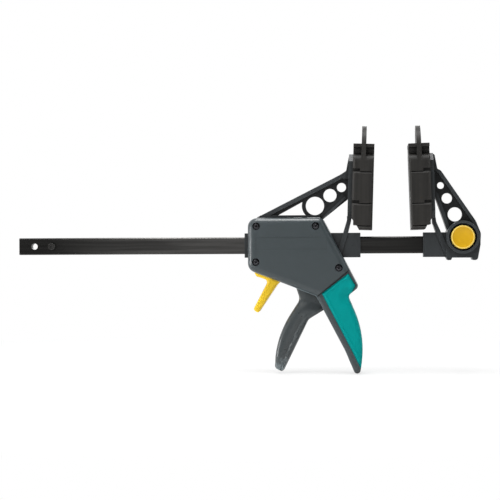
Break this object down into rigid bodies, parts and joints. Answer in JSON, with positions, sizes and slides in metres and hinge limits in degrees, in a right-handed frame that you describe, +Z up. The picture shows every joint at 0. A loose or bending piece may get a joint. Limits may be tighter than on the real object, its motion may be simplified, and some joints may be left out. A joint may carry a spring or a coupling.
{
  "type": "bar clamp",
  "caption": "One-handed bar clamp: jaws with soft pads on a flat steel bar, a squeeze trigger, a release lever and a push-button quick change for the end jaw.",
  "frame": {"origin": "centre of the fixed jaw's clamping face", "axes": "+X along the bar from the moving jaw to the fixed jaw, +Z up along the jaws away from the bar, push button and screw heads face -Y"},
  "size_m": [0.3232, 0.032, 0.1712],
  "materials": {
    "bar_steel": "black oxide, satin, drawn lengthwise",
    "jaw_plastic": "glass-filled nylon, fine moulded grain",
    "housing_plastic": "glass-filled nylon, fine moulded grain",
    "trigger_plastic": "moulded, satin",
    "cap_plastic": "moulded, satin",
    "pad_rubber": "soft moulded, matte",
    "grip_rubber": "soft overmould, satin",
    "yellow_plastic": "moulded, semi-gloss",
    "screw_steel": "black oxide",
    "pin_steel": "ground",
    "plate_steel": "stamped",
    "spring_steel": "drawn wire"
  },
  "bodies": {
    "fixed_side": {"bar": "bar_steel", "bar_stop_pin": "pin_steel", "fixed_jaw_frame": "jaw_plastic", "fixed_pad": "pad_rubber", "boss_back_cap": "cap_plastic", "button_spring": "spring_steel"},
    "lock_button": {"release_button": "yellow_plastic", "lock_stem": "pin_steel", "lock_yoke": "plate_steel", "lock_pin": "pin_steel"},
    "moving_jaw": {"moving_jaw_frame": "jaw_plastic", "moving_pad": "pad_rubber", "housing_front_cover": "housing_plastic", "housing_back_cover": "housing_plastic", "grip_insert_front": "grip_rubber", "grip_insert_back": "grip_rubber", "housing_screws": "screw_steel", "trigger_pivot_pin": "pin_steel", "release_pivot_pin": "pin_steel", "drive_spring": "spring_steel", "brake_spring": "spring_steel"},
    "trigger": {"trigger": "trigger_plastic"},
    "drive_plates": {"drive_plates": "plate_steel"},
    "release_lever": {"release_lever": "yellow_plastic"},
    "brake_plates": {"brake_plates": "plate_steel"}
  },
  "joints": [
    {"name": "jaw_slide", "type": "slide", "parent": "fixed_side", "child": "moving_jaw", "axis": [1, 0, 0], "range_m": [-0.1343, 0.0225]},
    {"name": "button_push", "type": "slide", "parent": "fixed_side", "child": "lock_button", "axis": [0, 1, 0], "range_m": [0, 0.004], "stiffness_N_per_m": 800, "springref_m": -0.006, "deforming": ["button_spring"]},
    {"name": "trigger_squeeze", "type": "hinge", "parent": "moving_jaw", "child": "trigger", "pos_m": [-0.0629, 0, -0.0618], "axis": [0, -1, 0], "range_deg": [0, 32], "stiffness_Nm_per_rad": 0.15, "springref_deg": -22.92},
    {"name": "drive_plate_slide", "type": "slide", "parent": "moving_jaw", "child": "drive_plates", "axis": [-1, 0, 0], "range_m": [0, 0.007], "deforming": ["drive_spring"]},
    {"name": "release_pull", "type": "hinge", "parent": "moving_jaw", "child": "release_lever", "pos_m": [-0.09338, 0, -0.0577], "axis": [0, -1, 0], "range_deg": [0, 14.5], "stiffness_Nm_per_rad": 0.05, "springref_deg": -17.19},
    {"name": "brake_plate_tilt", "type": "hinge", "parent": "moving_jaw", "child": "brake_plates", "pos_m": [-0.0988, 0, -0.0264], "axis": [0, 1, 0], "range_deg": [0, 5.01], "deforming": ["brake_spring"]}
  ],
  "couplings": [
    {"joint": "drive_plate_slide", "follows": "trigger_squeeze", "m_per_rad": 0.0125},
    {"joint": "brake_plate_tilt", "follows": "release_pull", "ratio": 0.34483}
  ]
}
